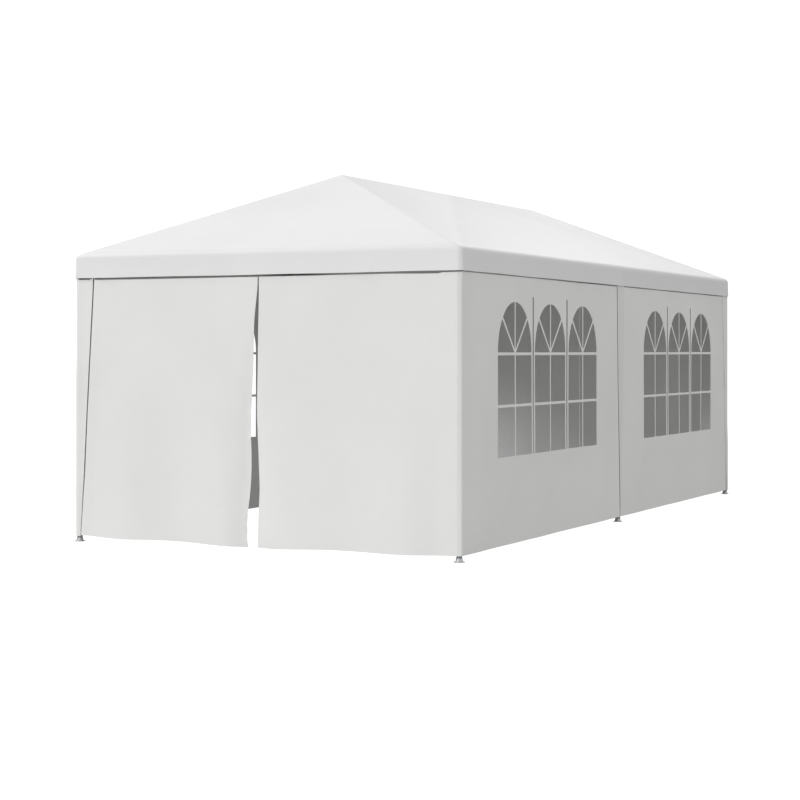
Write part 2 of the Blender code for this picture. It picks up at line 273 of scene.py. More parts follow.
def add_fitting(node, centre, arms):
    """A knuckle with one sleeve for each tube, joined into a single welded piece, cleared of slivers."""
    centre = Vector(centre)
    ball = max(radius for _, radius in arms) + 0.0002
    steps = 14
    knuckle_profile = [
        (ball * math.sin(math.pi * k / steps), -ball * math.cos(math.pi * k / steps))
        for k in range(steps + 1)
    ]
    knuckle = turned("welded_" + node, knuckle_profile, fitting_zinc, 32)
    knuckle.data.transform(Matrix.Translation(centre))
    sleeves = []
    for number, (direction, radius) in enumerate(arms):
        sleeve_profile = [
            (0.0, 0.0), (radius, 0.0), (radius, 0.034), (radius + 0.0006, 0.0350),
            (radius + 0.0010, 0.0370), (radius + 0.0010, ARM - 0.0025), (radius + 0.0007, ARM - 0.0008),
            (radius - 0.0004, ARM), (0.0, ARM),
        ]
        sleeve = turned(f"{node}_sleeve_{number}", sleeve_profile, fitting_zinc, 28)
        stand(sleeve, centre, direction)
        weld = knuckle.modifiers.new("weld", "BOOLEAN")
        weld.operation = "UNION"
        weld.solver = "EXACT"
        weld.object = sleeve
        sleeves.append(sleeve)
    graph = bpy.context.evaluated_depsgraph_get()
    welded = bpy.data.meshes.new_from_object(knuckle.evaluated_get(graph))
    knuckle.modifiers.clear()
    knuckle.data = welded
    shape = bmesh.new()
    shape.from_mesh(welded)
    bmesh.ops.remove_doubles(shape, verts=shape.verts, dist=WELD_TOLERANCE)
    bmesh.ops.dissolve_degenerate(shape, edges=shape.edges, dist=WELD_TOLERANCE)
    bmesh.ops.triangulate(shape, faces=[face for face in shape.faces if len(face.verts) > 4])
    shape.to_mesh(welded)
    shape.free()
    welded.shade_smooth()
    welded.set_sharp_from_angle(angle=math.radians(40))
    for sleeve in sleeves:
        bpy.data.objects.remove(sleeve, do_unlink=True)
    keep(knuckle, "fitting_steel", node)


ridge_middle = Vector((0, 0, RIDGE_Z))
hubs = {along: Vector((0, along * HUB_Y, RIDGE_Z)) for along in (-1, 1)}
hub_arms = {along: [((0, -along, 0), RAIL_RADIUS)] for along in (-1, 1)}
middle_arms = [((0, 1, 0), RAIL_RADIUS), ((0, -1, 0), RAIL_RADIUS)]
for across in (-1, 1):
    side = SIDE_NAMES[across]
    middle = Vector((across * LEG_X, 0, RAIL_Z))
    down = (Vector((0, 0, -1)), LEG_RADIUS)
    tee = [down, ((0, 1, 0), RAIL_RADIUS), ((0, -1, 0), RAIL_RADIUS)]
    tee.append((ridge_middle - middle, RAIL_RADIUS))
    add_fitting(f"eave_tee_{side}", middle, tee)
    add_rail(f"side_rafter_{side}", middle, ridge_middle)
    middle_arms.append((middle - ridge_middle, RAIL_RADIUS))
    for along in (-1, 1):
        end = STATION_NAMES[along]
        corner = Vector((across * LEG_X, along * LEG_Y, RAIL_Z))
        arms = [down, ((-across, 0, 0), RAIL_RADIUS), ((0, -along, 0), RAIL_RADIUS)]
        arms.append((hubs[along] - corner, RAIL_RADIUS))
        add_fitting(f"corner_fitting_{end}_{side}", corner, arms)
        hub_arms[along].append((corner - hubs[along], RAIL_RADIUS))
        add_rail(f"eave_rail_{end}_{side}", corner, middle)
        add_rail(f"hip_rafter_{end}_{side}", corner, hubs[along])
for along in (-1, 1):
    end = STATION_NAMES[along]
    add_fitting(f"ridge_hub_{end}", hubs[along], hub_arms[along])
    add_rail(f"end_rail_{end}", (-LEG_X, along * LEG_Y, RAIL_Z), (LEG_X, along * LEG_Y, RAIL_Z))
    add_rail(f"ridge_tube_{end}", hubs[along], ridge_middle)
add_fitting("ridge_hub_middle", ridge_middle, middle_arms)

# Roof cover: coated woven polyethylene, cut in panels, sewn along the hips and pulled over the frame,
# with a 146 mm valance. It rounds over the eave, dips a little between the tubes and hangs straight.
HALF_WIDTH = 1.5
HALF_LENGTH = 3.0
EAVE = 2.016
PEAK = 2.625
VALANCE_HEM = 1.8510
LEG_INSET = 0.0279
BEND = 0.0367
HALF_ROUND = 2 * LEG_X + 2 * LEG_Y + 2 * BEND
SIDE_START = LEG_X + BEND
EAVE_ROUNDING = 0.042
HIP_ROUNDING = 0.010
SIDE_PITCH = (PEAK - EAVE) / HALF_WIDTH
END_PITCH = (PEAK - EAVE) / (HALF_LENGTH - HUB_Y)
SIDE_EAVE_DROP = 0.012
SIDE_DIP = 0.005
END_DIP = 0.012
ROOF_CLOTH = 0.0012
CLOTH_CLOUD_MM = 769.0
WAVES_PER_METRE = 3.18


def coated_cloth(name, white, shade, roughness, gloss, tape_mm, relief_depth):
    """Coated polyethylene tape cloth: a faint cross weave in a satin film, with slow changes of tone.

    The tapes are drawn 5 mm wide, about twice as wide as real ones, so that the weave shows.
    """
    finish, shader = new_finish(name, {"Roughness": roughness, "Specular IOR Level": gloss, "IOR": 1.5})
    place = put_node(finish, "ShaderNodeTexCoord").outputs["Object"]
    along_cloth = put_node(finish, "ShaderNodeUVMap", {"uv_map": "cloth"}).outputs["UV"]
    cloud = put_node(
        finish,
        "ShaderNodeTexNoise",
        {"Scale": 1000 / CLOTH_CLOUD_MM, "Detail": 5.0, "Roughness": 0.6},
        {"Vector": place},
    )
    tone = put_node(finish, "ShaderNodeValToRGB", links={"Fac": cloud.outputs["Fac"]})
    for stop, position, colour in zip(tone.color_ramp.elements, (0.30, 0.62), (shade, white)):
        stop.position = position
        stop.color = srgb(colour)
    # Painted light and shade: a tone carried by each point of the mesh darkens or lightens the colour
    # where light falls less or more.
    painted_light_node = put_node(finish, "ShaderNodeAttribute", {"attribute_name": "painted_light_tone"})
    with_painted_light = put_node(
        finish,
        "ShaderNodeMix",
        {"data_type": "RGBA", "blend_type": "MULTIPLY", 0: 1.0},
        {6: tone.outputs["Color"], 7: painted_light_node.outputs["Color"]},
    )
    connect(finish, with_painted_light.outputs[2], shader, "Base Color")
    rubbed = put_node(
        finish,
        "ShaderNodeMapRange",
        {"To Min": roughness - 0.05, "To Max": roughness + 0.06},
        {"Value": cloud.outputs["Fac"]},
    )
    connect(finish, rubbed.outputs["Result"], shader, "Roughness")
    tapes = [
        put_node(
            finish,
            "ShaderNodeTexWave",
            {
                "bands_direction": direction,
                "wave_profile": "SIN",
                "Scale": 1000 / tape_mm / WAVES_PER_METRE,
            },
            {"Vector": along_cloth},
        )
        for direction in ("X", "Y")
    ]
    weave = put_node(
        finish,
        "ShaderNodeMath",
        {"operation": "ADD"},
        {0: tapes[0].outputs["Fac"], 1: tapes[1].outputs["Fac"]},
    )
    relief = put_node(
        finish,
        "ShaderNodeBump",
        {"Strength": 0.5, "Distance": relief_depth},
        {"Height": weave.outputs[0]},
    )
    connect(finish, relief.outputs["Normal"], shader, "Normal")
    return finish


def around(s, inset):
    """Plan places at distances s round the tent from the front's middle.

    The distances run to the right as seen from outside. A cloth's inset counts inwards from the valance.
    """
    lap = np.floor((s + LEG_X) / HALF_ROUND)
    s = s - lap * HALF_ROUND
    turn = np.where(lap % 2 == 0, 1.0, -1.0)
    past_first = np.clip((s - LEG_X) / BEND, 0, 1)
    past_second = np.clip((s - SIDE_START - 2 * LEG_Y) / BEND, 0, 1)
    angle = (past_first + past_second - 1) * math.pi / 2
    out_x = turn * np.cos(angle)
    out_y = turn * np.sin(angle)
    centre_x = np.clip(s, -LEG_X, LEG_X)
    centre_y = np.clip(s - SIDE_START, 0, 2 * LEG_Y) - LEG_Y
    reach = LEG_INSET - inset
    return turn * centre_x + reach * out_x, turn * centre_y + reach * out_y


def on_side(y):
    """The distance round the tent of a point on its right side."""
    return SIDE_START + LEG_Y + y


def on_back(x):
    return HALF_ROUND - x


def soft_least(a, b, width):
    blend = np.maximum(width - np.abs(a - b), 0) / width
    return np.minimum(a, b) - blend * blend * width / 4


def cloth_dip(x, y):
    """How far the cover dips between its tubes, deepest along the stretch from mid-ridge to corner."""
    x, y = np.abs(x), np.abs(y)
    crease_y = 2 * x
    hip_y = HUB_Y + x * (HALF_LENGTH - HUB_Y) / HALF_WIDTH
    reach = np.sin(math.pi * np.clip(x / HALF_WIDTH, 0, 1))
    inner = np.clip(y / np.maximum(crease_y, 1e-4), 0, 1) ** 2
    outer = np.clip((hip_y - y) / np.maximum(hip_y - crease_y, 1e-4), 0, 1)
    side = SIDE_DIP * reach * np.where(y < crease_y, inner, outer)
    climb = np.clip((HALF_LENGTH - y) / (HALF_LENGTH - HUB_Y), 0, 1)
    width = HALF_WIDTH * np.maximum(1 - climb, 1e-4)
    end = END_DIP * np.sin(math.pi * climb) * np.clip(1 - (x / width) ** 2, 0, 1)
    return np.where(y > hip_y, end, side)


def side_slope(across):
    """A long slope's height at a distance in from its valance, a little lower towards the eave."""
    return EAVE + SIDE_PITCH * across - SIDE_EAVE_DROP * np.clip(across / -HALF_WIDTH + 1, 0, 1)


def roof_height(x, y, depth):
    """Height of the cover's face, depth being the distance in from the valance."""
    front = EAVE + END_PITCH * (HALF_LENGTH + y)
    back = EAVE + END_PITCH * (HALF_LENGTH - y)
    slopes = soft_least(side_slope(HALF_WIDTH + x), side_slope(HALF_WIDTH - x), HIP_ROUNDING)
    ends = soft_least(front, back, HIP_ROUNDING)
    height = soft_least(slopes, ends, HIP_ROUNDING) - cloth_dip(x, y)
    steep = np.sqrt(1 + SIDE_PITCH**2)
    sunk = EAVE_ROUNDING * (steep - SIDE_PITCH)
    tangent = EAVE_ROUNDING * (1 - SIDE_PITCH / steep)
    inwards = np.clip(depth, 0, tangent)
    arc = np.sqrt(EAVE_ROUNDING**2 - (EAVE_ROUNDING - inwards) ** 2)
    return height - np.where(depth < tangent, sunk + SIDE_PITCH * inwards - arc, 0)


def grid_cloth(name, place, maps, painted_tones, finish, thickness):
    """A closed band from a grid of points: rows up the cloth, columns round it, then its thickness."""
    rows, columns = place.shape[:2]
    shape = bmesh.new()
    points = [[shape.verts.new(place[r, c]) for c in range(columns)] for r in range(rows)]
    cloth_map = shape.loops.layers.uv.new("cloth")
    tone = shape.loops.layers.float_color.new("painted_light_tone")
    for r in range(rows - 1):
        for c in range(columns):
            after = (c + 1) % columns
            cells = [(r, c, c), (r, after, c + 1), (r + 1, after, c + 1), (r + 1, c, c)]
            face = shape.faces.new([points[i][j] for i, j, _ in cells])
            face.smooth = True
            for loop, (i, j, k) in zip(face.loops, cells):
                loop[cloth_map].uv = maps[i, k]
                shade = painted_tones[i, j]
                loop[tone] = (shade, shade, shade, 1)
    bmesh.ops.remove_doubles(shape, verts=shape.verts, dist=0.00005)
    piece = new_piece(name, shape, finish)
    thicken(piece, thickness)
    return piece


def thicken(piece, thickness):
    """Gives a sheet its thickness on the inner side, with crisp cut edges."""
    sheet = piece.modifiers.new("thickness", "SOLIDIFY")
    sheet.thickness = thickness
    sheet.offset = -1.0
    sheet.use_even_offset = False
    graph = bpy.context.evaluated_depsgraph_get()
    made = bpy.data.meshes.new_from_object(piece.evaluated_get(graph))
    piece.modifiers.clear()
    piece.data = made
    made.set_sharp_from_angle(angle=math.radians(50))


roof_white = coated_cloth("coated_roof_cloth", "#e9e9e9", "#e6e6e6", 0.46, 0.17, 5.0, 0.00025)
coarse = 1
straight = 0.04 * coarse
front_run = np.linspace(-LEG_X, LEG_X, int(2 * LEG_X / straight) | 1)
bend_run = np.linspace(0, BEND, 7)[1:]
side_run = np.linspace(0, 2 * LEG_Y, int(2 * LEG_Y / straight) | 1)[1:]
half_run = np.concatenate([
    front_run,
    LEG_X + bend_run,
    SIDE_START + side_run,
    SIDE_START + 2 * LEG_Y + bend_run,
])
run = np.concatenate([half_run[:-1], half_run[:-1] + HALF_ROUND])
rise = [0, 0.0008, 0.0022, 0.0042, 0.0068, 0.0100, 0.0140, 0.0190, 0.026, 0.036, 0.050, 0.070, 0.095]
rise += list(np.linspace(0.125, 0.955, 28 // coarse)) + [0.968, 0.979, 0.988, 0.995, 1.0]
rise = np.array(rise)
edge_x, edge_y = around(run, 0.0)
ridge_y = np.clip(edge_y, -HUB_Y, HUB_Y)
cover_x = edge_x - edge_x * rise[:, None]
cover_y = edge_y + (ridge_y - edge_y) * rise[:, None]
off_x, off_y = np.abs(cover_x), np.abs(cover_y)
beyond_x = np.maximum(off_x - LEG_X, 0)
beyond_y = np.maximum(off_y - LEG_Y, 0)
in_corner = (beyond_x > 0) & (beyond_y > 0)
to_edge = np.minimum(HALF_WIDTH - off_x, HALF_LENGTH - off_y)
depth = np.where(in_corner, LEG_INSET - np.hypot(beyond_x, beyond_y), to_edge)
height = roof_height(cover_x, cover_y, depth)
slope_part = np.stack([cover_x, cover_y, height], axis=2)
drop = np.array([1.0, 0.985, 0.965, 0.93, 0.86, 0.74, 0.6, 0.45, 0.3, 0.17, 0.07])
valance_rows = []
sag = 0.0015 * np.exp(-((edge_x / 0.8) ** 4)) * (np.abs(edge_y) > 2.99)
for share in drop:
    level = VALANCE_HEM + (height[0] - VALANCE_HEM) * (1 - share) - share * sag
    wave = 0.0016 * np.sin(run * 9.1 + 0.6) + 0.0012 * np.sin(run * 15.7 + 2.0)
    wave = wave + 0.0010 * np.sin(run * 4.3)
    away = share**1.5 * (0.0045 + wave)
    x, y = around(run, -away)
    valance_rows.append(np.stack([x, y, level + share * 0.0008 * np.sin(run * 6.7)], axis=1))
cover_points = np.concatenate([np.stack(valance_rows), slope_part])
run_wide = np.append(run, run[0] + 2 * HALF_ROUND)
up = np.concatenate([-0.14 * drop, rise * 1.62])
cover_map = np.stack(np.meshgrid(run_wide, up), axis=2)

# Painted light and shade on the cover, 1 being plain cloth: the parts between crease and hip, the middle
# ones, the ends, the edge over the eave and the valance are each drawn a little lighter or darker, for how
# their slightly different slants take the light.
CREASE_WIDTH = 0.03
EAVE_SHADE = 0.10
past_crease = np.clip((off_y - 2 * off_x) / math.sqrt(5) / CREASE_WIDTH + 0.5, 0, 1)
before_hip = off_y < HUB_Y + off_x * (HALF_LENGTH - HUB_Y) / HALF_WIDTH - 0.002
beside_crease = np.where(cover_x * cover_y < 0, 0.028, -0.052)
along_side = np.clip(cover_y * np.sign(cover_x), -1.0, 2.0)
slope_tone = 1 - 0.030 * (1 - past_crease) + past_crease * before_hip * beside_crease
slope_tone -= np.where(before_hip, 0.012 * along_side, 0.008)
slope_tone -= 0.022 * cover_x * np.sign(cover_y) * (1 - before_hip)
# Painted shade: the cloth is drawn darker where it rounds over the eave, in a wider band on the ends than
# on the long sides.
on_long_side = np.abs(edge_x) > HALF_WIDTH - 0.01
turn_down = np.where(on_long_side, 0.012, 0.034)
slope_tone *= 1 - EAVE_SHADE * np.clip((turn_down - depth) / (0.8 * turn_down), 0, 1)
# Painted shade: the valance is drawn darker than the slopes, by a different amount on each bay of the long
# sides and across the ends.
side_valance = np.where(edge_x * edge_y > 0, 0.845, 0.880)
end_valance = 0.893 - 0.010 * edge_x * np.sign(edge_y)
valance_tone = np.where(on_long_side, side_valance, end_valance) * np.ones((len(drop), 1))
cover_tone = np.concatenate([valance_tone, slope_tone])
cover = grid_cloth("roof_canvas", cover_points, cover_map, cover_tone, roof_white, ROOF_CLOTH)
keep(cover, "roof_cloth", "roof_cover")

# Corner wraps: at the front left and back right a strip of wall cloth is lapped round the leg, under
# the edges of the window wall and the door curtain. Coated polyethylene, 0.3 mm in the real tent.
OUTER = 0.0046
INNER = 0.0080
WALL_TOP = 1.985
WALL_CLOTH = 0.0010


def inside(px, py, outline):
    """Which of the points lie inside a closed outline."""
    hit = np.zeros(len(px), bool)
    for (x0, y0), (x1, y1) in zip(outline, outline[1:] + outline[:1]):
        if y0 == y1:
            continue
        crosses = (y0 > py) != (y1 > py)
        hit ^= crosses & (px < (x1 - x0) * (py - y0) / (y1 - y0) + x0)
    return hit


def away_from(px, py, outline, gap):
    """Which of the points lie at least that far from an outline."""
    clear = np.ones(len(px), bool)
    for (x0, y0), (x1, y1) in zip(outline, outline[1:] + outline[:1]):
        run_x, run_y = x1 - x0, y1 - y0
        length = run_x * run_x + run_y * run_y
        t = np.clip(((px - x0) * run_x + (py - y0) * run_y) / max(length, 1e-12), 0, 1)
        clear &= np.hypot(px - x0 - t * run_x, py - y0 - t * run_y) > gap
    return clear


def stepped(outline, step, columns=()):
    """The same outline with a point at least every step, and one wherever it crosses a column."""
    points = []
    for (x0, y0), (x1, y1) in zip(outline, outline[1:] + outline[:1]):
        count = max(1, math.ceil(math.hypot(x1 - x0, y1 - y0) / step - 1e-6))
        shares = [k / count for k in range(count)]
        width = abs(x1 - x0)
        for x in columns:
            share = (x - x0) / (x1 - x0) if width > 1e-6 else -1
            if 0 < share < 1:
                shares = [old for old in shares if old == 0 or abs(old - share) * width > 0.002]
                shares.append(share)
        points += [(x0 + (x1 - x0) * share, y0 + (y1 - y0) * share) for share in sorted(shares)]
    return points


def cut_cloth(name, outline, openings, hang, finish, step, thickness, columns=(), tone_at=None):
    """Cuts a cloth flat, as (distance round the tent, height), and hangs it by its inset."""
    step = step * 1
    outline = stepped(outline, step, columns)
    openings = [stepped(opening, step) for opening in openings]
    flat = np.array(outline)
    low, high = flat.min(0), flat.max(0)
    across = np.linspace(low[0], high[0], max(3, round((high[0] - low[0]) / step)))
    across = np.unique(np.concatenate([across, np.array(columns, float)]))
    up = np.linspace(low[1], high[1], max(3, round((high[1] - low[1]) / step)))
    px, py = (part.ravel() for part in np.meshgrid(across, up))
    px, py = px + 1e-4 * np.sin(py * 913.0), py + 1e-4 * np.sin(px * 717.0)
    use = inside(px, py, outline) & away_from(px, py, outline, 0.35 * step)
    for opening in openings:
        use &= ~inside(px, py, opening) & away_from(px, py, opening, 0.35 * step)
    points = [Vector(p) for p in outline]
    edges = [(k, (k + 1) % len(outline)) for k in range(len(outline))]
    for opening in openings:
        first = len(points)
        points += [Vector(p) for p in opening]
        edges += [(first + k, first + (k + 1) % len(opening)) for k in range(len(opening))]
    points += [Vector(p) for p in zip(px[use], py[use])]
    verts, _, faces, *_ = delaunay_2d_cdt(points, edges, [], 1, 1e-6)
    flat = np.array([tuple(v) for v in verts])
    corners = np.array([tuple(f) for f in faces if len(f) == 3])
    middle = flat[corners].mean(1)
    stays = inside(middle[:, 0], middle[:, 1], outline)
    for opening in openings:
        stays &= ~inside(middle[:, 0], middle[:, 1], opening)
    inset, level = hang(flat[:, 0], flat[:, 1])
    x, y = around(flat[:, 0], inset)
    shades = tone_at(flat[:, 0], flat[:, 1]) if tone_at else np.ones(len(flat))
    shape = bmesh.new()
    placed = [shape.verts.new(p) for p in zip(x, y, level)]
    cloth_map = shape.loops.layers.uv.new("cloth")
    tone = shape.loops.layers.float_color.new("painted_light_tone")
    for corner in corners[stays]:
        face = shape.faces.new([placed[k] for k in corner])
        face.smooth = True
        for loop, k in zip(face.loops, corner):
            loop[cloth_map].uv = flat[k]
            loop[tone] = (shades[k], shades[k], shades[k], 1)
    bmesh.ops.delete(shape, geom=[v for v in shape.verts if not v.link_faces], context="VERTS")
    piece = new_piece(name, shape, finish)
    thicken(piece, thickness)
    return piece


def flat_area(outline, openings=()):
    def area(points):
        pairs = zip(points, points[1:] + points[:1])
        return abs(sum(x0 * y1 - x1 * y0 for (x0, y0), (x1, y1) in pairs)) / 2

    return area(outline) - sum(area(opening) for opening in openings)


def ease(x, start, end):
    """0 before the start, 1 past the end, smooth between."""
    t = np.clip((x - start) / (end - start), 0, 1)
    return t * t * (3 - 2 * t)


wall_white = coated_cloth("coated_wall_cloth", "#dfdfdd", "#dbdbd9", 0.50, 0.30, 5.0, 0.00025)


def wrap_hang(s, z, loose_from):
    """Close round the leg, easing inwards under the window wall, and standing off it lower down."""
    before = on_side(LEG_Y) - s
    under = 0.004 * ease(before, 0.05, 0.14)
    at_leg = (1 - ease(before, 0.0, 0.05)) * (1 - ease(s, on_back(LEG_X), on_back(LEG_X) + 0.028))
    pushed_out = at_leg * (0.0030 + 0.0045 * ease(z, loose_from, loose_from - 0.22))
    slack = 0.0012 * np.sin(z * 7.3 + s * 3.0) * ease(z, 0.1, 0.5) * ease(before, 0.03, 0.08)
    return INNER + under - pushed_out + slack, z


def shift(outline, by):
    return [(s + by, z) for s, z in outline]


LAP_EDGE = [
    (-1.444, 0.038), (-1.426, 0.29), (-1.411, 0.45), (-1.389, 0.86),
    (-1.360, 1.35), (-1.334, 1.77), (-1.325, WALL_TOP),
]
LACED_GAP = [(0.008, 0.04), (0.010, 0.25), (0.015, 0.45)]
SIDE_TOP = 1.8432
FRONT_TOP = [
    (-LEG_X - BEND, 1.8390), (-1.36, 1.8390), (-1.32, 1.8370), (-0.85, 1.8355), (-0.30, 1.8355),
    (0.32, 1.8362), (0.92, 1.8380), (1.27, 1.8340), (1.350, 1.8340), (1.358, 1.8395),
    (LEG_X + BEND, 1.8415),
]
BEHIND_VALANCE = 1.862


def edge_at(points, z):
    """Where a slanted edge lies at a height, from its (place, height) points, the lowest first."""
    places, heights = zip(*points)
    return np.interp(z, heights, places)


def smooth_knots(x, knots):
    """A smooth line through (place, value) knots, level at each of them."""
    places, values = np.array(knots).T
    x = np.clip(x, places[0], places[-1])
    at = np.clip(np.searchsorted(places, x, side="right") - 1, 0, len(places) - 2)
    t = (x - places[at]) / (places[at + 1] - places[at])
    return values[at] + (values[at + 1] - values[at]) * t * t * (3 - 2 * t)


def hanging_gap(start, end):
    """The narrow gap under the header by which a cloth hangs, just below the valance's hem."""
    places = np.linspace(start, end, max(8, int((end - start) / 0.025)))
    half = np.floor((places + LEG_X + BEND) / HALF_ROUND) * HALF_ROUND
    level = np.where(places - half > LEG_X + BEND, SIDE_TOP, smooth_knots(places - half, FRONT_TOP))
    lower = [(float(s), float(z)) for s, z in zip(places, level)]
    return lower + [(end, BEHIND_VALANCE), (start, BEHIND_VALANCE)]


WALL_HEM = 0.0405
FAR_EDGE = [
    (2.920, WALL_HEM), (2.899, 0.51), (2.866, 1.07), (2.846, 1.35), (2.812, 1.72), (2.798, WALL_TOP),
]
UNDER_WALL = 0.026
CLOTH_STEP = 0.03
wrap = [(on_side(y + UNDER_WALL), z) for y, z in FAR_EDGE[::-1]]
wrap += [(on_back(float(edge_at(LACED_GAP, z)) - x), z) for x, z in LAP_EDGE]
for turn, name, loose_from in (
    (0, "corner_wrap_back_right", 0.68),
    (HALF_ROUND, "corner_wrap_front_left", 1.36),
):
    def turned_wrap(s, z, turn=turn, loose_from=loose_from):
        return wrap_hang(s - turn, z, loose_from)

    bend_columns = [on_side(LEG_Y) + turn + BEND * k / 6 for k in range(7)]
    # The gap under the header is cut only where it shows, here in the front wrap.
    gap = [hanging_gap(on_back(LEG_X - 0.002) + turn, on_back(1.355) + turn)] if turn else []
    piece = cut_cloth(
        name, shift(wrap, turn), gap, turned_wrap, wall_white, CLOTH_STEP, WALL_CLOTH, bend_columns
    )
    keep(piece, "wall_cloth")
    flat_area(wrap)

# Window walls: one to each bay of a long side, wall cloth with three arched lights and two slits cut
# out, so narrow bars of cloth are left across them. Clear PVC film is welded on behind the bars.
SPRING = 1.330
ARCH_RISE = 0.341
HALF_LIGHT = 0.2905
SILL = 0.630
LIGHT_SPACING = 0.642
HALF_BAR = 0.0078
HALF_RAY = 0.0080
RAY_END = (0.21, 0.229)
UPPER_BAR = (1.3108, 1.330)
LOWER_BAR = (0.9618, 0.980)
SLIT_TOP = 1.712
HALF_SLIT = 0.011
WINDOW_FROM_LEG = 1.495
FIRST_EDGE = [
    (-0.020, WALL_HEM), (-0.024, 0.17), (-0.045, 0.64), (-0.068, 1.11), (-0.084, 1.66), (-0.093, WALL_TOP),
]
# The cloth lifts along the same edge, taken straight past its bend at 1.11 m.
LIFTED_EDGE = FIRST_EDGE[:3] + FIRST_EDGE[4:]
# Where the doubled tab over the middle leg ends, narrowing downwards.
TAB_EDGE = [(0.009, 0.17), (0.033, 0.45), (0.050, 0.75), (0.064, 1.30), (0.078, 1.66)]


def light_openings(centre):
    """The eight panes of one arched light: four in the head, two between the bars, two below."""
    ray = Vector(RAY_END).normalized()
    head = []
    for k in range(241):
        angle = math.pi / 2 * k / 240
        head.append((HALF_LIGHT * math.cos(angle), ARCH_RISE * math.sin(angle)))
    beside = [ray.x * y - ray.y * x for x, y in head]
    low = [p for p, off in zip(head, beside) if off < -HALF_RAY]
    high = [p for p, off in zip(head, beside) if off > HALF_RAY and p[0] > HALF_BAR]
    low = low[::12] + [low[-1]]
    high = [high[0]] + high[1:-1:12] + [(HALF_BAR, high[-1][1])]
    low_start = (HALF_RAY / ray.y, 0.0)
    high_start = (HALF_BAR, (HALF_BAR * ray.y + HALF_RAY) / ray.x)
    panes = [[low_start] + low, [high_start] + high]
    panes = [[(x, SPRING + y) for x, y in pane] for pane in panes]
    for bottom, top in ((LOWER_BAR[1], UPPER_BAR[0]), (SILL, LOWER_BAR[0])):
        panes.append([(HALF_BAR, bottom), (HALF_LIGHT, bottom), (HALF_LIGHT, top), (HALF_BAR, top)])
    mirrored = [[(-x, z) for x, z in pane[::-1]] for pane in panes]
    return [[(centre + x, z) for x, z in pane] for pane in panes + mirrored]


def window_openings(centre):
    openings = []
    for k in (-1, 0, 1):
        openings += light_openings(centre + k * LIGHT_SPACING)
    for k in (-0.5, 0.5):
        middle = centre + k * LIGHT_SPACING
        left, right = middle - HALF_SLIT, middle + HALF_SLIT
        openings.append([(left, SILL), (right, SILL), (right, SLIT_TOP), (left, SLIT_TOP)])
    return openings


def wall_slack(s, z, phase):
    """Shallow upright ripples of a wall that hangs from its rail, fading at the rail and the legs."""
    fall = ease(1.95 - z, 0.1, 1.9)
    ripples = 0.0024 * np.sin(s * 5.1 + phase + 0.5 * z)
    ripples = ripples + 0.0015 * np.sin(s * 11.3 + 2.0 * phase - 0.8 * z)
    drift = 0.0008 * np.sin(z * 5.0 + s * 1.7 + phase) * ease(1.95 - z, 0.0, 0.3)
    return fall * (ripples + 0.0012) + drift


def first_wall_hang(s, z):
    """From under the door curtain round the front leg to the slanted edge past the middle leg."""
    y = s - SIDE_START - LEG_Y
    settled = ease(y, -2.97, -2.75) * (1 - ease(y, -0.32, -0.12))
    lift = 0.0012 * ease(y - edge_at(LIFTED_EDGE, z), -0.09, 0.0) * ease(1.97 - z, 0.0, 0.25)
    under = 0.0018 * (1 - ease(s, LEG_X, LEG_X + 0.030))
    return OUTER + under - wall_slack(s, z, 0.4) * settled - lift, z


def first_wall_tone(s, z):
    """Painted shade: the cloth is drawn darker where it turns round the front leg. Below the windows it is
    drawn lighter.
    """
    near_leg = 1 - ease(s, SIDE_START + 0.02, SIDE_START + 0.24)
    past_corner = ease(s, LEG_X, LEG_X + BEND)
    return 1 + 0.030 * ease(z, 0.75, 0.35) - 0.036 * near_leg * past_corner


def second_wall_hang(s, z):
    """From its laced edge over the middle leg to the slanted edge over the corner wrap."""
    y = s - SIDE_START - LEG_Y
    tab_end = edge_at(TAB_EDGE, z)
    under = 0.0016 * (1 - ease(y, tab_end - 0.012, tab_end + 0.012))
    settled = ease(y, 0.07, 0.30) * (1 - ease(y, 2.60, 2.86))
    lift = 0.0035 * ease(y - edge_at(FAR_EDGE, z), -0.08, 0.0) * ease(1.97 - z, 0.0, 0.25)
    return OUTER + under - wall_slack(s, z, 2.1) * settled - lift, z


def second_wall_tone(s, z):
    """Painted shade: the cloth is drawn darker on the tab over the middle leg and towards the far end, and
    most along the far edge, as the lap's shadow.
    """
    y = s - SIDE_START - LEG_Y
    tab_end = edge_at(TAB_EDGE, z)
    tab = 1 - ease(y, tab_end - 0.004, tab_end + 0.004)
    lap_edge_shadow = 1 - ease(edge_at(FAR_EDGE, z) - y, 0.0, 0.015)
    return 1 - 0.050 * tab - 0.026 * ease(y, 1.9, 2.7) - 0.34 * lap_edge_shadow


# The film is clear and softly glossy, with slow ripples. Painted light: low down, towards the tent's front
# and back corners, it is made milky, standing in for the light inside the tent that shows through the
# lower panes.
FILM_RIPPLE_MM = 286.0
clear_film, film_shader = new_finish(
    "clear_pvc_film",
    {
        "Base Color": srgb("#dfe1e0"),
        "Roughness": 0.12,
        "IOR": 1.45,
        "Alpha": 0.05,
        "Specular IOR Level": 0.3,
    },
)
film_place = put_node(clear_film, "ShaderNodeTexCoord").outputs["Object"]
film_ripple = put_node(
    clear_film,
    "ShaderNodeTexNoise",
    {"Scale": 1000 / FILM_RIPPLE_MM, "Detail": 2.0},
    {"Vector": film_place},
)
film_relief = put_node(
    clear_film,
    "ShaderNodeBump",
    {"Strength": 0.4, "Distance": 0.004},
    {"Height": film_ripple.outputs["Fac"]},
)
connect(clear_film, film_relief.outputs["Normal"], film_shader, "Normal")
film_gloss = put_node(
    clear_film,
    "ShaderNodeMapRange",
    {"To Min": 0.07, "To Max": 0.20},
    {"Value": film_ripple.outputs["Fac"]},
)
connect(clear_film, film_gloss.outputs["Result"], film_shader, "Roughness")
